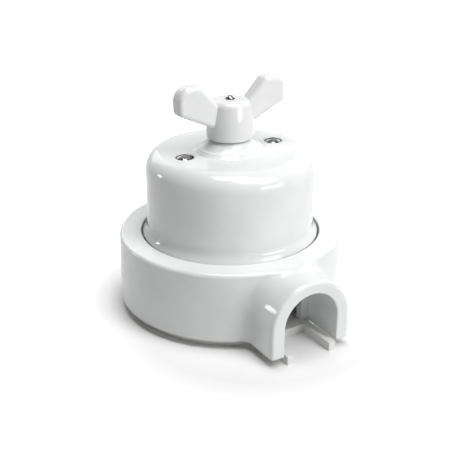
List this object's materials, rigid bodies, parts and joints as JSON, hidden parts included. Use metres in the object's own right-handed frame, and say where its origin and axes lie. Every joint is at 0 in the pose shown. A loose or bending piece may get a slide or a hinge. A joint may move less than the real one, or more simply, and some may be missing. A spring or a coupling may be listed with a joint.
{
  "type": "porcelain rotary switch",
  "caption": "Round glazed porcelain rotary light switch: wing knob on a domed cover, set in a surface box with a half-round conduit spout, on a moulded back plate.",
  "frame": {"origin": "centre of the back plate's wall face, on the knob's axis", "axes": "+Z out of the wall along the knob's axis, -Y along the conduit spout, X along the wings and the cover screws"},
  "size_m": [0.0824, 0.0944, 0.0834],
  "materials": {
    "porcelain_glaze": "glossy clear glaze",
    "knob_glaze": "glossy clear glaze",
    "bare_porcelain": "unglazed, fired",
    "white_moulding": "moulded, satin",
    "bright_plate": "polished plate",
    "spring_steel": "rolled",
    "brass": "stamped and turned",
    "phenolic": "moulded"
  },
  "bodies": {
    "housing": {"surface_box": "porcelain_glaze", "cover": "porcelain_glaze", "back_plate": "white_moulding", "switch_base": "bare_porcelain", "cover_screws": "bright_plate", "base_screws": "spring_steel", "bearing_bridge": "spring_steel", "bridge_screws": "spring_steel", "base_bush": "brass", "detent_springs": "spring_steel", "line_contact": "brass", "load_contact": "brass", "terminal_blocks": "brass", "terminal_screws": "spring_steel", "contact_screws": "spring_steel", "thrust_washer": "brass"},
    "rotor": {"knob": "knob_glaze", "knob_screw": "bright_plate", "spindle": "spring_steel", "contact_carrier": "phenolic", "contact_blade": "brass", "detent_cam": "phenolic", "rotor_rivets": "brass", "drive_pin": "spring_steel", "spindle_clip": "spring_steel"}
  },
  "joints": [
    {"name": "knob_turn", "type": "hinge", "parent": "housing", "child": "rotor", "pos_m": [0, 0, 0.06], "axis": [0, 0, 1], "continuous": true, "deforming": ["detent_springs"]}
  ]
}
